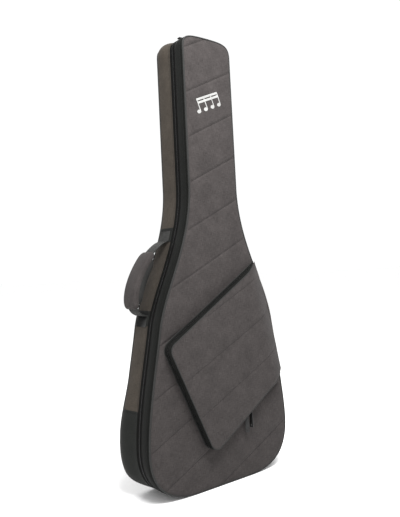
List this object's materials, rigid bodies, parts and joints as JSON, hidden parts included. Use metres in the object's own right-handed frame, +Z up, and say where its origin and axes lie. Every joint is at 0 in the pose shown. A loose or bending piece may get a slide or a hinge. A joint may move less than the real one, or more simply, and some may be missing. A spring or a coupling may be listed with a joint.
{
  "type": "padded gig bag",
  "caption": "Padded guitar gig bag standing on its base: zipped quilted lid, slanted zipped pocket, side handle, two shoulder straps, hang loop and neck rest.",
  "frame": {"origin": "middle of the flat base that the bag stands on, at the middle of the bag's depth between its seams", "axes": "+X to the right as seen from the front, +Y to the back, +Z up along the neck"},
  "size_m": [0.416, 0.1664, 1.0567],
  "materials": {
    "heather_light": "heather grey woven cloth, quilted",
    "heather_dark": "brown-grey heather woven cloth",
    "black_nylon": "black nylon cloth",
    "piping": "black piping",
    "zip_tape": "woven zip tape",
    "zip_teeth": "moulded nylon teeth",
    "foam": "closed-cell foam padding",
    "lining": "soft brushed lining",
    "webbing": "ribbed webbing",
    "strap_mesh": "padded mesh cloth",
    "black_metal": "black lacquered metal",
    "buckle_plastic": "moulded plastic",
    "thread": "white embroidery thread"
  },
  "bodies": {
    "shell": {"back_panel": "heather_dark", "back_foam": "foam", "back_lining": "lining", "main_side_wall": "heather_dark", "handle_side_wall": "heather_dark", "lower_side_wall": "heather_dark", "upper_handle_patch": "black_nylon", "lower_handle_patch": "black_nylon", "base_boot": "black_nylon", "side_wall_foam": "foam", "side_wall_lining": "lining", "rear_piping": "piping", "rear_zip_tape": "zip_tape", "rear_zip_teeth": "zip_teeth", "lid_fold_tape": "black_nylon", "handle_end_stubs": "webbing", "strap_top_patch": "black_nylon", "strap_bottom_tabs": "black_nylon", "hang_loop_patch": "black_nylon", "end_pad": "lining", "neck_cradle": "lining"},
    "lid": {"front_panel": "heather_light", "front_foam": "foam", "front_lining": "lining", "lid_gusset": "black_nylon", "lid_gusset_lining": "lining", "lid_zip_tape": "zip_tape", "lid_zip_teeth": "zip_teeth", "front_piping": "piping", "emblem": "thread", "seam_tab": "piping", "pocket_gusset": "black_nylon", "pocket_zip_tape": "zip_tape", "pocket_side_strip": "heather_light"},
    "pocket_flap": {"pocket_panel": "heather_light", "pocket_padding": "foam", "pocket_lining": "lining", "pocket_flap_gusset": "black_nylon", "pocket_flap_zip_tape": "zip_tape"},
    "main_slider_left": {"main_slider_left": "black_metal"},
    "main_slider_right": {"main_slider_right": "black_metal"},
    "main_pull_left": {"main_pull_left": "black_metal"},
    "main_pull_right": {"main_pull_right": "black_metal"},
    "pocket_slider_left": {"pocket_slider_left": "black_metal"},
    "pocket_slider_right": {"pocket_slider_right": "black_metal"},
    "pocket_pull_left": {"pocket_pull_left": "black_metal"},
    "pocket_pull_right": {"pocket_pull_right": "black_metal"},
    "handle": {"handle_strap": "webbing", "handle_core": "foam", "handle_sleeve": "heather_dark"},
    "hang_loop": {"hang_loop": "webbing"},
    "left_strap": {"left_strap_pad": "strap_mesh", "left_strap_webbing": "webbing", "left_ladder_lock": "buckle_plastic"},
    "right_strap": {"right_strap_pad": "strap_mesh", "right_strap_webbing": "webbing", "right_ladder_lock": "buckle_plastic"},
    "neck_hook": {"neck_strap_hook": "webbing"},
    "neck_loop": {"neck_strap_loop": "webbing"}
  },
  "joints": [
    {"name": "lid_turn", "type": "hinge", "parent": "shell", "child": "lid", "pos_m": [0.2083, -0.01275, 0.1], "axis": [0, 0, 1], "range_deg": [0, 150]},
    {"name": "pocket_turn", "type": "hinge", "parent": "lid", "child": "pocket_flap", "pos_m": [0.18825, -0.056, 0.23911], "axis": [-0.2689, 0, 0.9632], "range_deg": [0, 100]},
    {"name": "main_slider_left_travel", "type": "slide", "parent": "shell", "child": "main_slider_left", "axis": [-1, 0, 0], "range_m": [0, 0.024]},
    {"name": "main_slider_right_travel", "type": "slide", "parent": "shell", "child": "main_slider_right", "axis": [1, 0, 0], "range_m": [0, 0.024]},
    {"name": "main_pull_left_swing", "type": "hinge", "parent": "main_slider_left", "child": "main_pull_left", "pos_m": [-0.0085, -0.01275, 1.0545], "axis": [0, 1, 0], "range_deg": [0, 95]},
    {"name": "main_pull_right_swing", "type": "hinge", "parent": "main_slider_right", "child": "main_pull_right", "pos_m": [0.0085, -0.01275, 1.0545], "axis": [0, -1, 0], "range_deg": [0, 95]},
    {"name": "pocket_slider_left_travel", "type": "slide", "parent": "lid", "child": "pocket_slider_left", "axis": [-0.8443, 0, -0.5358], "range_m": [0, 0.06]},
    {"name": "pocket_slider_right_travel", "type": "slide", "parent": "lid", "child": "pocket_slider_right", "axis": [0.8443, 0, 0.5358], "range_m": [0, 0.06]},
    {"name": "pocket_pull_left_swing", "type": "hinge", "parent": "pocket_slider_left", "child": "pocket_pull_left", "pos_m": [0.06106, -0.0675, 0.15306], "axis": [0, 1, 0], "range_deg": [-10, 48]},
    {"name": "pocket_pull_right_swing", "type": "hinge", "parent": "pocket_slider_right", "child": "pocket_pull_right", "pos_m": [0.07541, -0.0675, 0.16217], "axis": [0, 1, 0], "range_deg": [-112, 10]},
    {"name": "handle_swing", "type": "hinge", "parent": "shell", "child": "handle", "pos_m": [-0.09906, 0.023, 0.57796], "axis": [-0.3695, 0, -0.9292], "range_deg": [-25, 25]},
    {"name": "hang_loop_swing", "type": "hinge", "parent": "shell", "child": "hang_loop", "pos_m": [0, 0.0607, 1.0107], "axis": [1, 0, 0], "range_deg": [0, 165]},
    {"name": "left_strap_swing", "type": "hinge", "parent": "shell", "child": "left_strap", "pos_m": [-0.027, 0.059, 0.64], "axis": [-0.2247, 0, -0.9744], "range_deg": [-12, 12]},
    {"name": "right_strap_swing", "type": "hinge", "parent": "shell", "child": "right_strap", "pos_m": [0.027, 0.059, 0.64], "axis": [0.2247, 0, -0.9744], "range_deg": [-12, 12]},
    {"name": "neck_hook_turn", "type": "hinge", "parent": "shell", "child": "neck_hook", "pos_m": [-0.036, 0.0051, 0.815], "axis": [0, 0, -1], "range_deg": [0, 88]},
    {"name": "neck_loop_turn", "type": "hinge", "parent": "shell", "child": "neck_loop", "pos_m": [0.036, 0.007, 0.815], "axis": [0, 0, 1], "range_deg": [0, 55]}
  ],
  "couplings": [
    {"joint": "neck_loop_turn", "follows": "neck_hook_turn", "ratio": 0.6}
  ]
}
